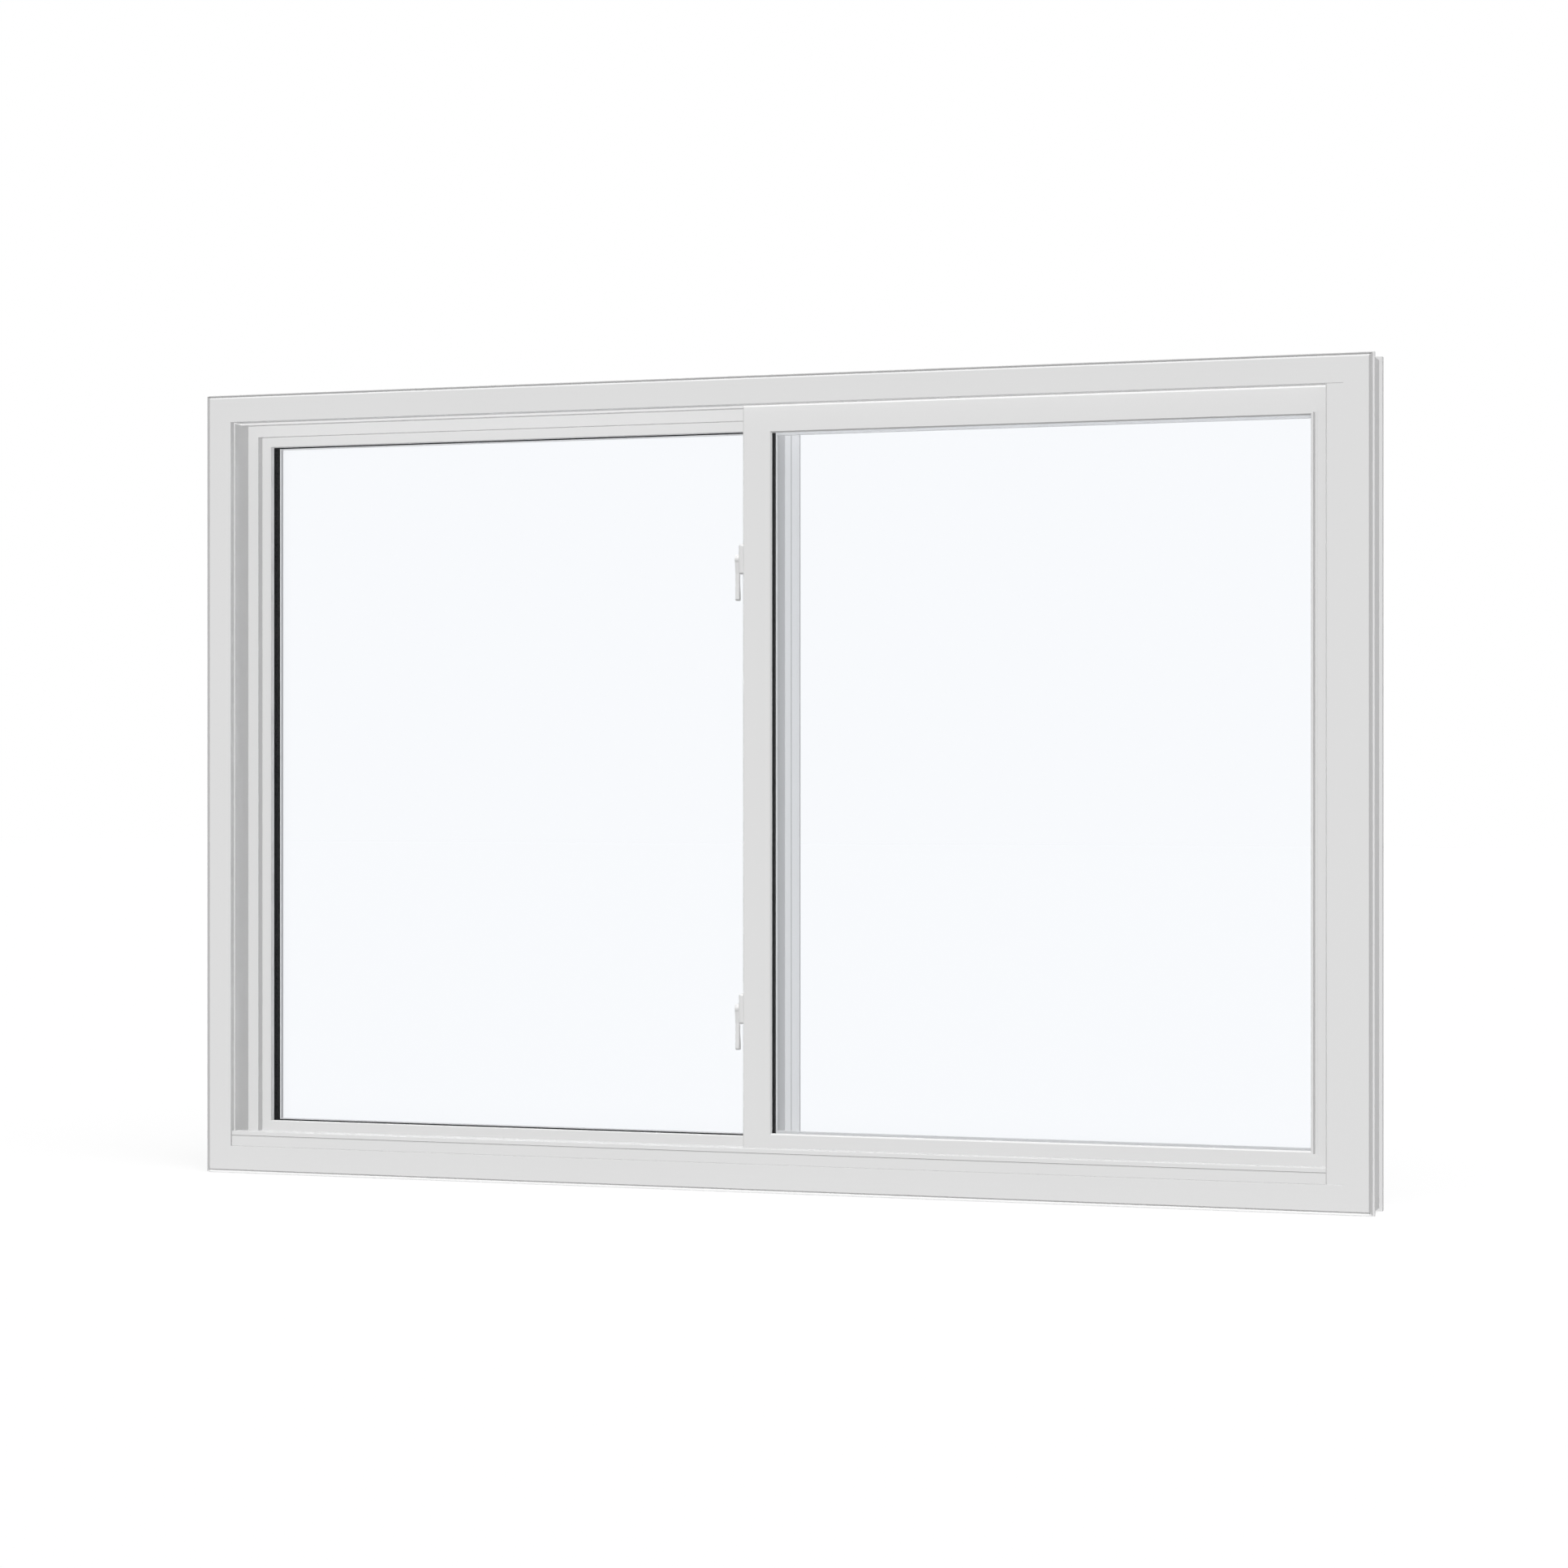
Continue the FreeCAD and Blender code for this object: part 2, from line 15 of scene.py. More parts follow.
import bmesh
import bpy
from mathutils import Vector
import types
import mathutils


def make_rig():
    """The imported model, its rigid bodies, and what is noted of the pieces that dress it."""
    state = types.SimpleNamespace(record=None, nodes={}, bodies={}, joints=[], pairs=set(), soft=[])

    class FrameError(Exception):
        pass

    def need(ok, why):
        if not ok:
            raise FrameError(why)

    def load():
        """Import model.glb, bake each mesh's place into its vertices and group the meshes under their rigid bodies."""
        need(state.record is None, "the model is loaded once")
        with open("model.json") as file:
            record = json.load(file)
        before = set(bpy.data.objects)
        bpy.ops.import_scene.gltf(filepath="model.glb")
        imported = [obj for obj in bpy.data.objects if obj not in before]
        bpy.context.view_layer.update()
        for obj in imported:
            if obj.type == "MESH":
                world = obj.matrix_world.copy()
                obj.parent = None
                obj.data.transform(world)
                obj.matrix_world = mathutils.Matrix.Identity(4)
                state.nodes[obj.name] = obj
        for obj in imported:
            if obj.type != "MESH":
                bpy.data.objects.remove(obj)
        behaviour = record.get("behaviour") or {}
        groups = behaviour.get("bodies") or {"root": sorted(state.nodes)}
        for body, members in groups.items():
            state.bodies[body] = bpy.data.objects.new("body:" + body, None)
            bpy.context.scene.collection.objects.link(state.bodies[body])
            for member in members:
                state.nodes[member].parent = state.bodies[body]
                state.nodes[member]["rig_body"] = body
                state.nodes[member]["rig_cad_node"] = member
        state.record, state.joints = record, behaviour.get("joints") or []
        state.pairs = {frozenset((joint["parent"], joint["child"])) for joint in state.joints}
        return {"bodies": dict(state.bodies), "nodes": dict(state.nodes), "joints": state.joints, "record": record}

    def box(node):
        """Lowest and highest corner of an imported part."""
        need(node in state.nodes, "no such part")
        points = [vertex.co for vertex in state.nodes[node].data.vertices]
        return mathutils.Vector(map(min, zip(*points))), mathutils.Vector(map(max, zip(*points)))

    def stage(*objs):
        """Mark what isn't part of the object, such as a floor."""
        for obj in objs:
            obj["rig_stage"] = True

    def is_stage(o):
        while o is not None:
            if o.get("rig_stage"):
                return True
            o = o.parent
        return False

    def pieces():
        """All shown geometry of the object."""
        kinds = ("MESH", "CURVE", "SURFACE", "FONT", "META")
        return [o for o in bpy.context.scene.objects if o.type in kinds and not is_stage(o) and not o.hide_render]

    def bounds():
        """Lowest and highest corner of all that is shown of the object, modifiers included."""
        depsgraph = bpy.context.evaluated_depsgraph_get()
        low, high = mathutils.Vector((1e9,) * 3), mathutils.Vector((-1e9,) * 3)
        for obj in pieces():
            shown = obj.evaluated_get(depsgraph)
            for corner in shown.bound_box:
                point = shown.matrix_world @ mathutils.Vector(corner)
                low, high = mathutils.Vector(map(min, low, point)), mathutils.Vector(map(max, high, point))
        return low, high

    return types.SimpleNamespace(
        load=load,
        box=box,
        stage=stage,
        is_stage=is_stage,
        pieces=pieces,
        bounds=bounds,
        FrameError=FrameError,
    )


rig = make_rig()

log = logging.getLogger("sliding_window")

Colour = tuple[float, float, float]
Reach = Optional[tuple[float, float]]
Number = Union[int, float]
Nodes = Mapping[str, bpy.types.Object]

WHITE: Colour = (1.0, 1.0, 1.0)
FINER_LAYERS = 0.55


def scaled(colour: Colour, share: float) -> Colour:
    """A colour with its three parts multiplied by one share."""
    red, green, blue = colour
    return red * share, green * share, blue * share


class Run(Enum):
    """The direction in which a vinyl member was extruded."""

    ACROSS = "across"
    UPRIGHT = "upright"


class Signal:
    """A number that changes over a surface, so that maths on it reads as plain expressions."""

    def __init__(self, graph: Graph, socket: bpy.types.NodeSocket) -> None:
        """Keeps the socket and the graph that it belongs to."""
        self.graph = graph
        self.socket = socket

    def _maths(self, operation: str, *values: Union[Signal, Number]) -> Signal:
        """The result of one Math node, fed with the values in order."""
        node = self.graph.add("ShaderNodeMath", {"operation": operation}, dict(enumerate(values)))
        return Signal(self.graph, node.outputs[0])

    def __add__(self, other: Union[Signal, Number]) -> Signal:
        """self + other."""
        return self._maths("ADD", self, other)

    def __radd__(self, other: Number) -> Signal:
        """other + self."""
        return self._maths("ADD", other, self)

    def __sub__(self, other: Union[Signal, Number]) -> Signal:
        """self - other."""
        return self._maths("SUBTRACT", self, other)

    def __rsub__(self, other: Number) -> Signal:
        """other - self."""
        return self._maths("SUBTRACT", other, self)

    def __mul__(self, other: Union[Signal, Number]) -> Signal:
        """self * other."""
        return self._maths("MULTIPLY", self, other)

    def __rmul__(self, other: Number) -> Signal:
        """other * self."""
        return self._maths("MULTIPLY", other, self)

    def __truediv__(self, other: Union[Signal, Number]) -> Signal:
        """self / other."""
        return self._maths("DIVIDE", self, other)

    def __rtruediv__(self, other: Number) -> Signal:
        """other / self."""
        return self._maths("DIVIDE", other, self)

    def __abs__(self) -> Signal:
        """The size of the number, without its sign."""
        return self._maths("ABSOLUTE", self)

    def at_most(self, other: Union[Signal, Number]) -> Signal:
        """The smaller of the two."""
        return self._maths("MINIMUM", self, other)

    def below(self, other: Union[Signal, Number]) -> Signal:
        """1 where this number is the smaller one, 0 elsewhere."""
        return self._maths("LESS_THAN", self, other)

    def within(self, low: float, high: float) -> Signal:
        """1 where this number lies between the two, 0 elsewhere."""
        return abs(self - (low + high) / 2).below((high - low) / 2)


Feed = Union[Signal, bpy.types.NodeSocket, Number, tuple]


class Graph:
    """A node tree that is filled from one method."""

    def __init__(self, tree: bpy.types.NodeTree) -> None:
        """Takes over a node tree and empties it."""
        self.tree = tree
        tree.nodes.clear()

    @staticmethod
    def _socket(sockets: Any, key: Union[int, str]) -> bpy.types.NodeSocket:
        """Finds a socket by its place, its identifier or its name.

        Args:
            sockets: a node's inputs or outputs.
            key: the place, identifier or name.

        Returns:
            The socket.
        """
        if isinstance(key, int):
            return sockets[key]
        return next((s for s in sockets if s.identifier == key), None) or sockets[key]

    def add(self, kind: str, settings: Optional[Mapping[str, Any]] = None,
            feeds: Optional[Mapping[Union[int, str], Feed]] = None) -> bpy.types.Node:
        """Adds one node.

        Args:
            kind: the node's type.
            settings: its properties, set first.
            feeds: values or links, by socket.

        Returns:
            The node.
        """
        node = self.tree.nodes.new(kind)
        for name, value in (settings or {}).items():
            setattr(node, name, value)
        for key, feed in (feeds or {}).items():
            self.feed(node, key, feed)
        return node

    def feed(self, node: bpy.types.Node, key: Union[int, str], feed: Feed) -> None:
        """Sets or links one input.

        Args:
            node: the node that is fed.
            key: the input's place, identifier or name.
            feed: a value or a link.
        """
        socket = self._socket(node.inputs, key)
        if isinstance(feed, Signal):
            feed = feed.socket
        if isinstance(feed, bpy.types.NodeSocket):
            self.tree.links.new(feed, socket)
        elif isinstance(feed, tuple) and len(feed) == 3 and socket.type == "RGBA":
            socket.default_value = (*feed, 1.0)
        else:
            socket.default_value = feed

    def signal(self, node: bpy.types.Node, key: Union[int, str] = 0) -> Signal:
        """One of a node's outputs, ready for maths."""
        return Signal(self, self._socket(node.outputs, key))

    def place(self) -> tuple[bpy.types.NodeSocket, Signal, Signal, Signal]:
        """Where a point of the surface is, in metres.

        Returns:
            The point as a vector, then its x, y and z.
        """
        vector = self.add("ShaderNodeTexCoord").outputs["Object"]
        split = self.add("ShaderNodeSeparateXYZ", feeds={0: vector})
        return vector, self.signal(split, 0), self.signal(split, 1), self.signal(split, 2)

    def noise(self, vector: bpy.types.NodeSocket, scale: Union[float, tuple], detail: float) -> Signal:
        """Noise from 0 to 1.

        Args:
            vector: the surface point.
            scale: cycles for each metre, the same all ways or given along x, y and z.
            detail: how many finer layers are added.

        Returns:
            The noise.
        """
        scales = scale if isinstance(scale, tuple) else (scale, scale, scale)
        stretched = self.add("ShaderNodeVectorMath", {"operation": "MULTIPLY"}, {0: vector, 1: scales})
        node = self.add("ShaderNodeTexNoise", feeds={
            "Vector": stretched.outputs[0], "Scale": 1.0, "Detail": detail, "Roughness": FINER_LAYERS})
        return self.signal(node)

    def blend(self, amount: Feed, first: Feed, second: Feed) -> bpy.types.NodeSocket:
        """Mixes two colours.

        Args:
            amount: 0 for the first, 1 for the second.
            first: a colour.
            second: a colour.

        Returns:
            The mixed colour.
        """
        node = self.add("ShaderNodeMix", {"data_type": "RGBA", "clamp_factor": True}, {
            "Factor_Float": amount, "A_Color": first, "B_Color": second})
        return self._socket(node.outputs, "Result_Color")

    def bump(self, height: Signal, distance: float) -> bpy.types.NodeSocket:
        """The normal of a height from 0 to 1, where 1 stands a distance high, in metres."""
        node = self.add("ShaderNodeBump", feeds={"Height": height, "Distance": distance, "Strength": 1.0})
        return node.outputs["Normal"]

    def swap_for(self, ray: str, usual: bpy.types.Node, other: bpy.types.Node) -> bpy.types.Node:
        """Shows another shader to one kind of ray.

        Args:
            ray: the Light Path output that names the ray.
            usual: the shader for every other ray.
            other: the shader for this ray.

        Returns:
            The mixed shader.
        """
        path = self.add("ShaderNodeLightPath")
        return self.add("ShaderNodeMixShader", feeds={
            0: path.outputs[ray], 1: usual.outputs[0], 2: other.outputs[0]})


@dataclass(frozen=True)
class Finish:
    """A surface finish; each kind paints its own shader."""

    name: str
    colour: Colour
    roughness: float

    def material(self) -> bpy.types.Material:
        """Makes the finish, or finds it where it is made already.

        Returns:
            The material.
        """
        known = bpy.data.materials.get(self.name)
        if known:
            return known
        material = bpy.data.materials.new(self.name)
        material.use_nodes = True
        material.diffuse_color = (*self.colour, 1.0)
        graph = Graph(material.node_tree)
        surface = self.paint(graph)
        graph.add("ShaderNodeOutputMaterial", feeds={"Surface": surface})
        return material

    def paint(self, graph: Graph) -> bpy.types.NodeSocket:
        """Draws the shader in the material's empty graph and gives its output."""
        raise NotImplementedError

    def dress(self, *pieces: bpy.types.Object) -> None:
        """Puts the finish on pieces, in place of whatever they carry.

        Args:
            pieces: the pieces' objects.
        """
        for piece in pieces:
            piece.data.materials.clear()
            piece.data.materials.append(self.material())
            log.info("%s is finished in %s", piece.name, self.name)


@dataclass(frozen=True)
class ShadedGroove:
    """A fine groove where the vinyl is painted darker as painted shade; it runs right through on an axis with no
    reach.
    """

    shade: float
    across: Reach = None
    depth: Reach = None
    up: Reach = None

    def cover(self, *place: Signal) -> Signal:
        """Tells where the painted shade lies.

        Args:
            place: a surface point's x, y and z.

        Returns:
            1 in the groove, 0 elsewhere.
        """
        # Painted shade: 1 inside the groove's box, where the vinyl's colour is darkened.
        reaches = (self.across, self.depth, self.up)
        first, *rest = [axis.within(*reach) for axis, reach in zip(place, reaches) if reach]
        return math.prod(rest, start=first)


@dataclass(frozen=True)
class PaintedGrooveShade:
    """The grooves down the jambs, along the dam and down the fixed meeting stile's flange, painted darker as painted
    shade.

    Each is placed from the box of the piece that it is cut in, in metres.
    """

    past_face: float = 0.001
    jamb_shade: float = 0.2
    jamb_width: float = 0.0064
    jamb_floor: float = 0.0023
    dam_shade: float = 0.3
    dam_drop: float = 0.007
    dam_spread: float = 0.0012
    dam_skin: float = 0.00001
    dam_floor: float = 0.0013
    stile_shade: float = 0.25
    stile_drop: float = 0.0128
    stile_spread: float = 0.0009
    stile_face: float = 0.0224
    stile_floor: float = 0.0234

    def find(self) -> list[ShadedGroove]:
        """Places the grooves.

        Returns:
            The grooves of the left and right jambs, the dam and the stile.
        """
        head_low, head_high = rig.box("frame_head")
        dam_low, dam_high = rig.box("sill_dam")
        stile_low, stile_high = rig.box("fixed_meeting_stile")
        start, end = head_high.x - self.jamb_width, head_high.x + self.past_face
        jamb_depth = (head_low.y - self.past_face, head_low.y + self.jamb_floor)
        dam_depth = (dam_low.y + self.dam_skin, dam_low.y + self.dam_floor)
        dam_line = dam_high.z - self.dam_drop
        stile_depth = (stile_low.y + self.stile_face, stile_low.y + self.stile_floor)
        stile_line = stile_high.x - self.stile_drop
        # Painted shade: each box darkens the vinyl where shadow would fall in its groove.
        return [
            ShadedGroove(self.jamb_shade, across=(start, end), depth=jamb_depth),
            ShadedGroove(self.jamb_shade, across=(-end, -start), depth=jamb_depth),
            ShadedGroove(self.dam_shade, depth=dam_depth,
                   up=(dam_line - self.dam_spread, dam_line + self.dam_spread)),
            ShadedGroove(self.stile_shade, depth=stile_depth,
                   across=(stile_line - self.stile_spread, stile_line + self.stile_spread)),
        ]


@dataclass(frozen=True)
class Vinyl(Finish):
    """Satin white vinyl, with the faint lines that the die leaves along an extrusion.

    Only a share of its light, the spill, reaches the matt surfaces round it, so that the deep
    white channels stay as evenly lit as they are in the photograph. The fine grooves are painted
    darker, as painted shade.
    """

    run: Run = Run.ACROSS
    drift: float = 0.012
    die_line: float = 0.00004
    sheen: float = 0.28
    spill: float = 0.5
    lines_along: float = 2.0
    lines_over: float = 900.0
    cloud_scale: float = 5.0
    grain_scale: float = 2600.0
    cloud_share: float = 0.6
    line_share: float = 0.75
    polish: float = 0.06
    line_roughness: float = 0.08
    cloud_roughness: float = 0.05
    groove_shade: PaintedGrooveShade = PaintedGrooveShade()

    def paint(self, graph: Graph) -> bpy.types.NodeSocket:
        """Draws the shader.

        Args:
            graph: the material's empty graph.

        Returns:
            The shader's output.
        """
        point, across, depth, up = graph.place()
        along, over = self.lines_along, self.lines_over
        lengthwise = (along, over, over) if self.run is Run.ACROSS else (over, over, along)
        lines = graph.noise(point, lengthwise, detail=3.0)
        cloud = graph.noise(point, self.cloud_scale, detail=2.0)
        grain = graph.noise(point, self.grain_scale, detail=1.0)
        tone = cloud * self.cloud_share + lines * (1.0 - self.cloud_share)
        darker, paler = scaled(self.colour, 1.0 - self.drift), scaled(self.colour, 1.0 + self.drift)
        tint = graph.blend(tone, darker, paler)
        # Painted shade: the vinyl's colour is darkened in each fine groove, in place of the shadow there.
        for groove in self.groove_shade.find():
            shaded_tint = scaled(self.colour, 1.0 - groove.shade)
            tint = graph.blend(groove.cover(across, depth, up), tint, shaded_tint)
        height = lines * self.line_share + grain * (1.0 - self.line_share)
        uneven = self.line_roughness * lines + self.cloud_roughness * cloud
        shader = graph.add("ShaderNodeBsdfPrincipled", feeds={
            "Base Color": tint,
            "Roughness": self.roughness - self.polish + uneven,
            "Specular IOR Level": self.sheen,
            "Normal": graph.bump(height, self.die_line)})
        spilt = graph.add("ShaderNodeBsdfDiffuse", feeds={"Color": scaled(self.colour, self.spill)})
        return graph.swap_for("Is Diffuse Ray", shader, spilt).outputs[0]


@dataclass(frozen=True)
class Glass(Finish):
    """Clear float glass with a faint cool tint; lamps and matt surfaces shine straight through it."""

    ior: float = 1.5
    glare: float = 0.3

    def paint(self, graph: Graph) -> bpy.types.NodeSocket:
        """Draws the shader.

        Args:
            graph: the material's empty graph.

        Returns:
            The shader's output.
        """
        glass = graph.add("ShaderNodeBsdfPrincipled", feeds={
            "Base Color": self.colour, "Roughness": self.roughness, "IOR": self.ior,
            "Specular Tint": scaled(WHITE, self.glare), "Transmission Weight": 1.0})
        clear = graph.add("ShaderNodeBsdfTransparent", feeds={"Color": self.colour})
        to_matt = graph.swap_for("Is Diffuse Ray", glass, clear)
        return graph.swap_for("Is Shadow Ray", to_matt, clear).outputs[0]


@dataclass(frozen=True)
class SpacerBar(Finish):
    """The dark bar between two panes: a paler seam runs along its middle."""

    middle: float = 0.0
    seam: float = 0.0012
    seam_colour: Colour = (0.05, 0.05, 0.053)
    seam_depth: float = 0.0003
    seam_sink: float = 0.5
    speckle_scale: float = 1500.0
    speckle_spread: float = 0.2
    speckle_lift: float = 0.1

    def paint(self, graph: Graph) -> bpy.types.NodeSocket:
        """Draws the shader.

        Args:
            graph: the material's empty graph.

        Returns:
            The shader's output.
        """
        point, _, depth, _ = graph.place()
        away = abs(depth - self.middle)
        on_seam = 1.0 - (away / self.seam).at_most(1.0)
        speckle = graph.noise(point, self.speckle_scale, detail=2.0)
        spread = self.speckle_spread
        body = graph.blend(speckle, scaled(self.colour, 1.0 - spread), scaled(self.colour, 1.0 + spread))
        height = 1.0 - on_seam * self.seam_sink + speckle * self.speckle_lift
        shader = graph.add("ShaderNodeBsdfPrincipled", feeds={
            "Base Color": graph.blend(on_seam, body, self.seam_colour),
            "Roughness": self.roughness + self.speckle_lift * speckle,
            "Specular IOR Level": 0.0,
            "Normal": graph.bump(height, self.seam_depth)})
        return shader.outputs[0]


@dataclass(frozen=True)
class Rubber(Finish):
    """Matt rubber with a fine bloom."""

    bloom: Colour = (0.036, 0.036, 0.038)
    cloud_scale: float = 60.0
    cloud_share: float = 0.6
    pore_scale: float = 2200.0
    pore_share: float = 0.3
    pore_roughness: float = 0.12
    pore_depth: float = 0.00005

    def paint(self, graph: Graph) -> bpy.types.NodeSocket:
        """Draws the shader.

        Args:
            graph: the material's empty graph.

        Returns:
            The shader's output.
        """
        point, _, _, _ = graph.place()
        cloud = graph.noise(point, self.cloud_scale, detail=3.0)
        pores = graph.noise(point, self.pore_scale, detail=2.0)
        bloomed = cloud * self.cloud_share + pores * self.pore_share
        shader = graph.add("ShaderNodeBsdfPrincipled", feeds={
            "Base Color": graph.blend(bloomed, self.colour, self.bloom),
            "Roughness": self.roughness + self.pore_roughness * pores,
            "Specular IOR Level": 0.0,
            "Normal": graph.bump(pores, self.pore_depth)})
        return shader.outputs[0]


@dataclass(frozen=True)
class Enamel(Finish):
    """Smooth white enamel with the soft ripple of a sprayed coat."""

    ripple: float = 0.00003
    ripple_scale: float = 420.0
    cloud_scale: float = 40.0
    cloud_shade: float = 0.985
    cloud_roughness: float = 0.08
    gloss: float = 0.4

    def paint(self, graph: Graph) -> bpy.types.NodeSocket:
        """Draws the shader.

        Args:
            graph: the material's empty graph.

        Returns:
            The shader's output.
        """
        point, _, _, _ = graph.place()
        peel = graph.noise(point, self.ripple_scale, detail=1.0)
        cloud = graph.noise(point, self.cloud_scale, detail=2.0)
        shader = graph.add("ShaderNodeBsdfPrincipled", feeds={
            "Base Color": graph.blend(cloud, scaled(self.colour, self.cloud_shade), self.colour),
            "Roughness": self.roughness + self.cloud_roughness * cloud,
            "Specular IOR Level": self.gloss,
            "Normal": graph.bump(peel, self.ripple)})
        return shader.outputs[0]


@dataclass(frozen=True)
class Nylon(Finish):
    """Natural moulded nylon, finely mottled and scuffed round the wheel."""

    mottle_scale: float = 300.0
    mottle_shade: float = 0.9
    scuff_scale: tuple[float, float, float] = (2400.0, 700.0, 2400.0)
    scuff_roughness: float = 0.15
    scuff_depth: float = 0.00005

    def paint(self, graph: Graph) -> bpy.types.NodeSocket:
        """Draws the shader.

        Args:
            graph: the material's empty graph.

        Returns:
            The shader's output.
        """
        point, _, _, _ = graph.place()
        mottle = graph.noise(point, self.mottle_scale, detail=3.0)
        scuff = graph.noise(point, self.scuff_scale, detail=2.0)
        shader = graph.add("ShaderNodeBsdfPrincipled", feeds={
            "Base Color": graph.blend(mottle, scaled(self.colour, self.mottle_shade), self.colour),
            "Roughness": self.roughness + self.scuff_roughness * scuff,
            "Normal": graph.bump(scuff, self.scuff_depth)})
        return shader.outputs[0]


def seen_directly(graph: Graph) -> Signal:
    """Tells what the eye sees, also by mirror or through glass, from what only lights a surface.

    Args:
        graph: the graph that asks.

    Returns:
        1 for a ray that started at the eye and met no matt surface, 0 for any other.
    """
    path = graph.add("ShaderNodeLightPath")
    eye = graph.signal(path, "Is Camera Ray")
    mirror = graph.signal(path, "Is Glossy Ray")
    through = graph.signal(path, "Is Transmission Ray")
    unscattered = graph.signal(path, "Diffuse Depth").below(0.5)
    return (eye + mirror + through).at_most(1.0) * unscattered


@dataclass(frozen=True)
class PaleFloor(Finish):
    """A plain pale floor: it fades to white for the eye and keeps the window's shadow."""

    lift: float = 0.61

    def paint(self, graph: Graph) -> bpy.types.NodeSocket:
        """Draws the shader.

        Args:
            graph: the material's empty graph.

        Returns:
            The shader's output.
        """
        matt = graph.add("ShaderNodeBsdfDiffuse", feeds={"Color": self.colour})
        glow = graph.add("ShaderNodeEmission", feeds={
            "Color": WHITE, "Strength": seen_directly(graph) * self.lift})
        both = graph.add("ShaderNodeAddShader", feeds={0: matt.outputs[0], 1: glow.outputs[0]})
        return both.outputs[0]


@dataclass(frozen=True)
class Rounding:
    """A small rounding of sharp edges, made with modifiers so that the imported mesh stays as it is."""

    radius: float
    segments: int = 2
    sharp_angle: float = 35.0
    weld_gap: float = 0.00001

    def soften(self, piece: bpy.types.Object) -> None:
        """Rounds a piece's edges.

        Args:
            piece: the piece's object.
        """
        piece.modifiers.new("join_faces", "WELD").merge_threshold = self.weld_gap
        bevel = piece.modifiers.new("soft_edges", "BEVEL")
        bevel.width = self.radius
        bevel.segments = self.segments
        bevel.limit_method = "ANGLE"
        bevel.angle_limit = math.radians(self.sharp_angle)
        bevel.harden_normals = True


@dataclass(kw_only=True)
class VinylWork:
    """White vinyl members, each finished along its own extrusion."""

    level: tuple[str, ...]
    upright: tuple[str, ...]
    colour: Colour = (0.785, 0.785, 0.785)
    roughness: float = 0.42

    def dress(self, nodes: Nodes) -> None:
        """Finishes the members.

        Args:
            nodes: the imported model's nodes by name.
        """
        for run, names in ((Run.ACROSS, self.level), (Run.UPRIGHT, self.upright)):
            vinyl = Vinyl(f"vinyl_{run.value}", self.colour, self.roughness, run)
            vinyl.dress(*(nodes[name] for name in names))


@dataclass(kw_only=True)
class OuterFrame(VinylWork):
    """The four mitred frame members, with the dam and the filler snapped into them."""

    level: tuple[str, ...] = ("frame_head", "frame_sill", "sill_dam")
    upright: tuple[str, ...] = ("frame_jamb_left", "frame_jamb_right", "jamb_filler")
    dam_edge: Rounding = Rounding(0.0005)

    def dress(self, nodes: Nodes) -> None:
        """Finishes the members and rounds the edges of the dam.

        Args:
            nodes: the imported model's nodes by name.
        """
        super().dress(nodes)
        self.dam_edge.soften(nodes["sill_dam"])


@dataclass(kw_only=True)
class Sash(VinylWork):
    """One glazed sash: its rails and stiles, and the sealed unit that they hold."""

    name: str
    pane: Glass = Glass("float_glass", (0.969, 0.978, 0.991), 0.0)
    gasket: Rubber = Rubber("glazing_gasket", (0.02, 0.02, 0.021), 0.75)
    bar_colour: Colour = (0.02, 0.02, 0.021)
    bar_roughness: float = 0.8

    def dress(self, nodes: Nodes) -> None:
        """Finishes the members, the panes, the gasket and the spacer.

        Args:
            nodes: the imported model's nodes by name.
        """
        super().dress(nodes)
        self.pane.dress(nodes[f"{self.name}_inner_pane"], nodes[f"{self.name}_outer_pane"])
        self.gasket.dress(nodes[f"{self.name}_gasket"])
        low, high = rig.box(f"{self.name}_spacer")
        spacer = SpacerBar(f"{self.name}_spacer_bar", self.bar_colour, self.bar_roughness,
                           middle=(low.y + high.y) / 2)
        spacer.dress(nodes[f"{self.name}_spacer"])


@dataclass
class Hardware:
    """The two cam latches and the two wheels under the sliding sash."""

    bases: tuple[str, ...] = ("latch_upper_base", "latch_lower_base")
    levers: tuple[str, ...] = ("latch_upper_lever", "latch_lower_lever")
    wheels: tuple[str, ...] = ("roller_left", "roller_right")
    enamel: Enamel = Enamel("latch_enamel", (0.765, 0.765, 0.765), 0.25)
    nylon: Nylon = Nylon("roller_nylon", (0.75, 0.75, 0.73), 0.4)
    edge: Rounding = Rounding(0.0006)
    skin_grain: float = 0.0005
    flow_pull: float = 0.5
    flow_passes: int = 24

    def dress(self, nodes: Nodes) -> None:
        """Finishes the latches and the wheels.

        Args:
            nodes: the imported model's nodes by name.
        """
        self.enamel.dress(*(nodes[name] for name in self.bases + self.levers))
        self.nylon.dress(*(nodes[name] for name in self.wheels))
        for name in self.bases:
            for face in nodes[name].data.polygons:
                face.use_smooth = True
            self.edge.soften(nodes[name])
        for name in self.levers:
            self._cast(nodes[name])

    def _cast(self, lever: bpy.types.Object) -> None:
        """Lets a lever's faces flow into each other, as those of a casting do.

        Args:
            lever: the lever's object.
        """
        skin = lever.modifiers.new("cast_skin", "REMESH")
        skin.mode = "VOXEL"
        skin.voxel_size = self.skin_grain
        skin.use_smooth_shade = True
        flow = lever.modifiers.new("cast_flow", "SMOOTH")
        flow.factor = self.flow_pull
        flow.iterations = self.flow_passes


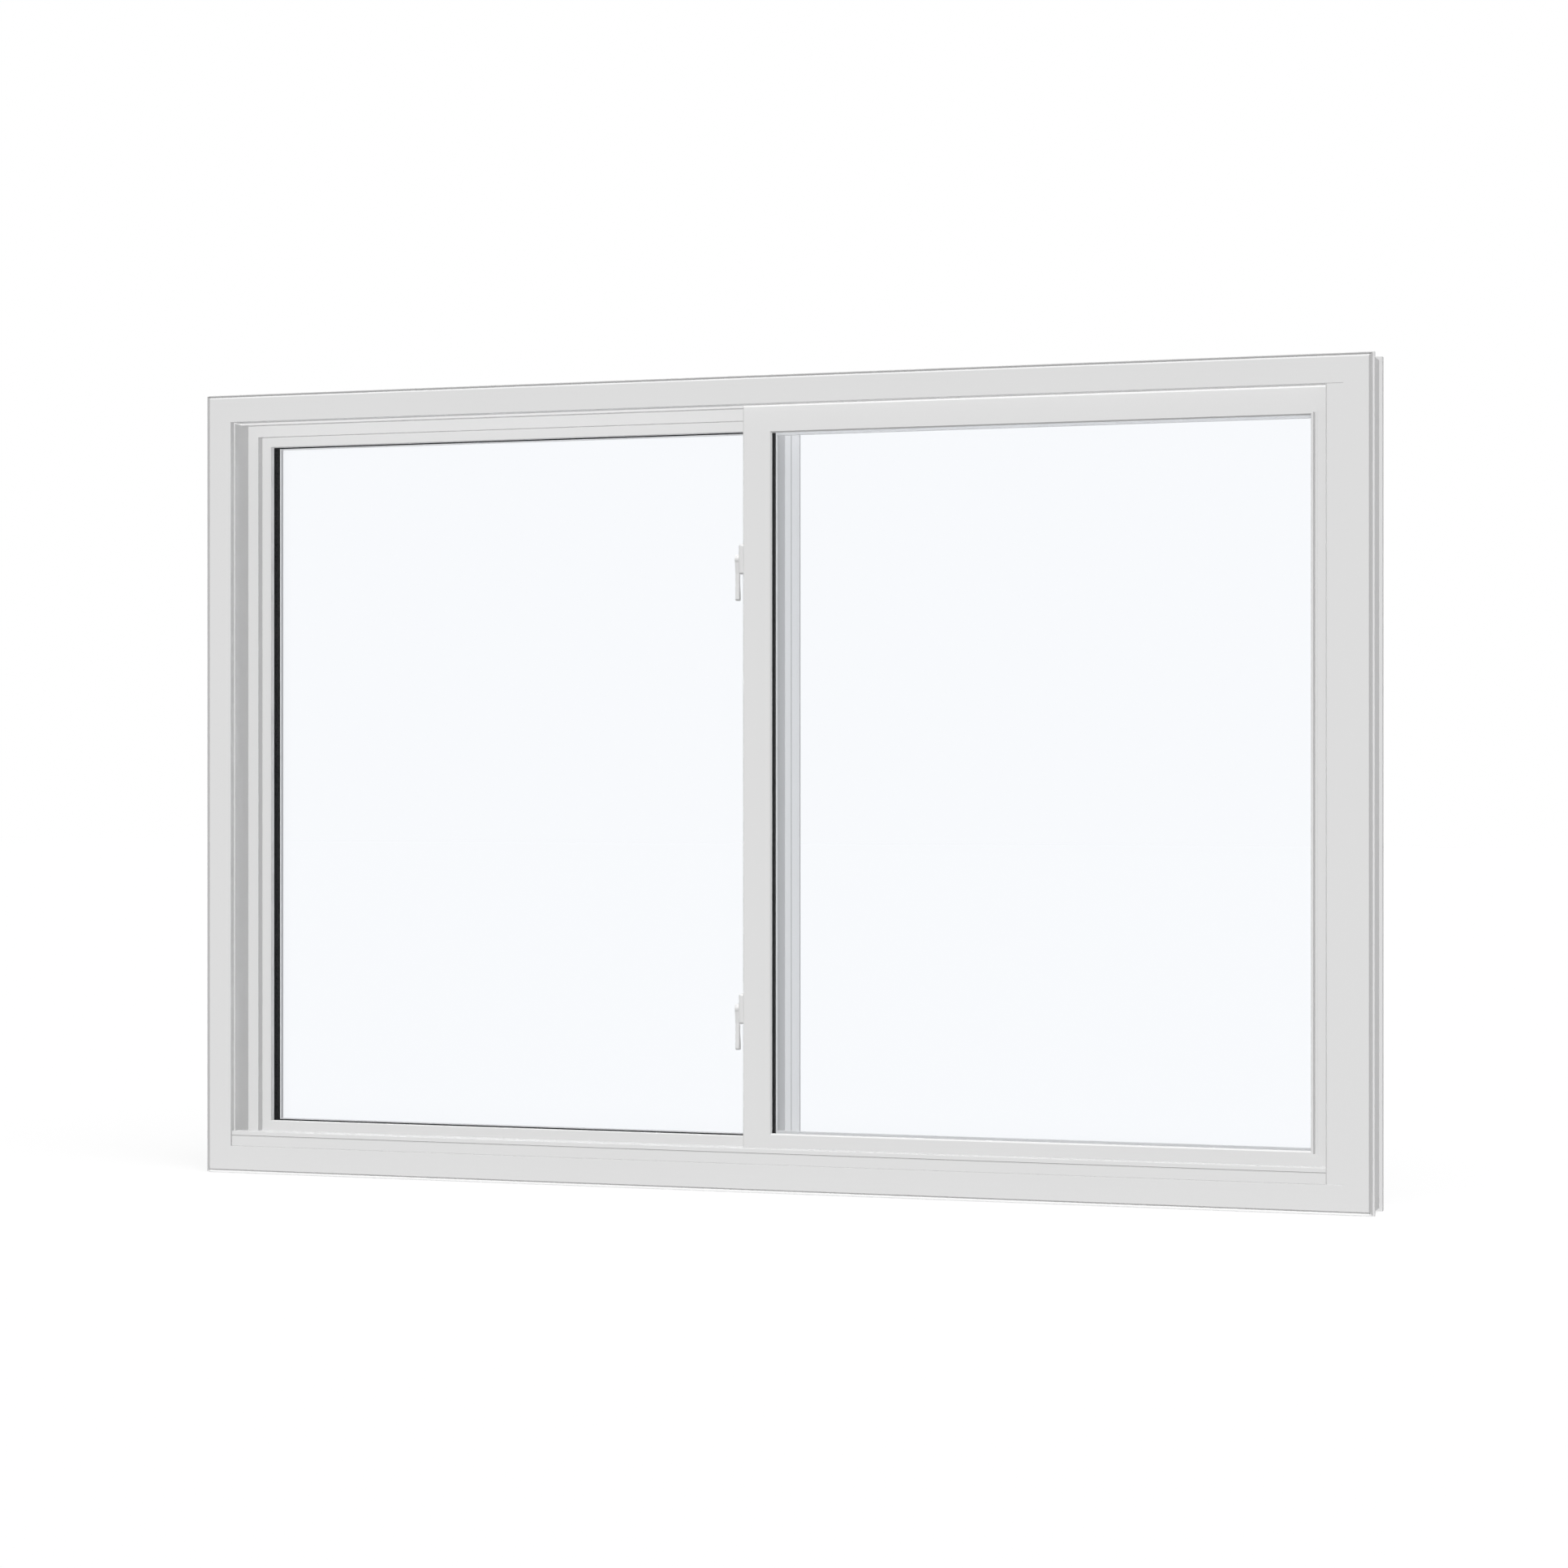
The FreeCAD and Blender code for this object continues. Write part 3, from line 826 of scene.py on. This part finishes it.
@dataclass(frozen=True)
class Lamp:
    """A far lamp that lights every surface by the way it faces; gloss lets it show as a highlight."""

    name: str
    towards: tuple[float, float, float]
    strength: float
    gloss: bool = False

    def hang(self) -> bpy.types.Object:
        """Makes the lamp.

        Returns:
            The lamp's object.
        """
        light = bpy.data.lights.new(self.name, "SUN")
        light.energy = self.strength
        light.use_shadow = False
        lamp = bpy.data.objects.new(self.name, light)
        lamp.visible_glossy = self.gloss
        lamp.rotation_euler = Vector(self.towards).to_track_quat("-Z", "Y").to_euler()
        bpy.context.scene.collection.objects.link(lamp)
        return lamp


@dataclass
class Studio:
    """What the window is shown in: a white surround, a pale floor, even light and the camera."""

    lens: float = 83.76
    sensor: float = 36.0
    far_end: float = 100.0
    eye: tuple[float, float, float] = (1.776, -5.0708, 0.60325)
    turn: float = 18.892
    ambient: float = 0.08
    floor_reach: float = 30.0
    floor: PaleFloor = PaleFloor("pale_floor", (0.3, 0.3, 0.3), 0.9)
    shade: Lamp = Lamp("floor_shade", (-0.25, 0.45, -1.0), 1.5)
    shade_softness: float = 40.0
    lamps: tuple[Lamp, ...] = (
        Lamp("high_room_lamp", (0.0, 0.645, -0.764), 3.3, gloss=True),
        Lamp("right_hand_lamp", (-1.0, -1.0, 0.0), 1.17),
        Lamp("left_hand_lamp", (1.0, -1.0, 0.0), 0.94),
        Lamp("low_lamp", (0.0, 0.0, 1.0), 0.52),
        Lamp("outdoor_lamp", (0.0, -1.0, 0.0), 0.64),
    )

    def build(self) -> None:
        """Sets up the colour view, the world, the lamps, the floor and the camera."""
        bpy.context.scene.view_settings.view_transform = "Standard"
        self._world()
        for lamp in self.lamps:
            lamp.hang()
            log.info("lamp %s hung", lamp.name)
        self._floor()
        self._camera()

    def _world(self) -> None:
        """A white surround for the eye and an even glow for matt surfaces."""
        world = bpy.data.worlds.new("white_surround")
        world.use_nodes = True
        graph = Graph(world.node_tree)
        strength = seen_directly(graph) * (1.0 - self.ambient) + self.ambient
        glow = graph.add("ShaderNodeBackground", feeds={"Color": WHITE, "Strength": strength})
        graph.add("ShaderNodeOutputWorld", feeds={"Surface": glow.outputs[0]})
        bpy.context.scene.world = world

    def _floor(self) -> None:
        """A wide square floor under the sill, with a soft lamp of its own for the shadow."""
        mesh = bpy.data.meshes.new("floor")
        shape = bmesh.new()
        bmesh.ops.create_grid(shape, x_segments=1, y_segments=1, size=self.floor_reach)
        shape.to_mesh(mesh)
        shape.free()
        floor = bpy.data.objects.new("floor", mesh)
        bpy.context.scene.collection.objects.link(floor)
        self.floor.dress(floor)
        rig.stage(floor)
        shade = self.shade.hang()
        shade.data.use_shadow = True
        shade.data.angle = math.radians(self.shade_softness)
        lit = bpy.data.collections.new("lit_by_shade")
        lit.objects.link(floor)
        shade.light_linking.receiver_collection = lit

    def _camera(self) -> None:
        """The camera at the photograph's place, its distance counted from the room face."""
        data = bpy.data.cameras.new("camera")
        data.lens = self.lens
        data.sensor_width = self.sensor
        data.sensor_fit = "HORIZONTAL"
        data.clip_end = self.far_end
        camera = bpy.data.objects.new("camera", data)
        room_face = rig.box("frame_head")[0].y
        camera.location = Vector(self.eye) + Vector((0.0, room_face, 0.0))
        camera.rotation_euler = (math.radians(90.0), 0.0, math.radians(self.turn))
        bpy.context.scene.collection.objects.link(camera)
        bpy.context.scene.camera = camera


@dataclass
class SizeNote:
    """The box of the solids and the box of the dressed window, kept side by side."""

    path: str = "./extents.json"
    boxes: dict[str, list[list[float]]] = field(default_factory=dict)

    def take(self, name: str) -> None:
        """Measures the window as it stands, under a name."""
        bpy.context.view_layer.update()
        self.boxes[name] = [list(corner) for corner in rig.bounds()]

    def write(self) -> None:
        """Writes the boxes."""
        with open(self.path, "w", encoding="utf-8") as sheet:
            json.dump(self.boxes, sheet, indent=1)


def main() -> None:
    """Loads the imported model, dresses it and sets up the studio."""
    logging.basicConfig(level=logging.INFO, format="%(name)s: %(message)s")
    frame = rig.load()
    note = SizeNote()
    note.take("cad")
    nodes = frame["nodes"]
    OuterFrame().dress(nodes)
    Sash(name="fixed", level=("fixed_top_rail", "fixed_bottom_rail"),
         upright=("fixed_left_stile", "fixed_meeting_stile", "fixed_interlock")).dress(nodes)
    Sash(name="slide", level=("slide_top_rail", "slide_bottom_rail"),
         upright=("slide_meeting_stile", "slide_pull_stile")).dress(nodes)
    Hardware().dress(nodes)
    Studio().build()
    note.take("visual")
    note.write()


if __name__ == "__main__":
    main()
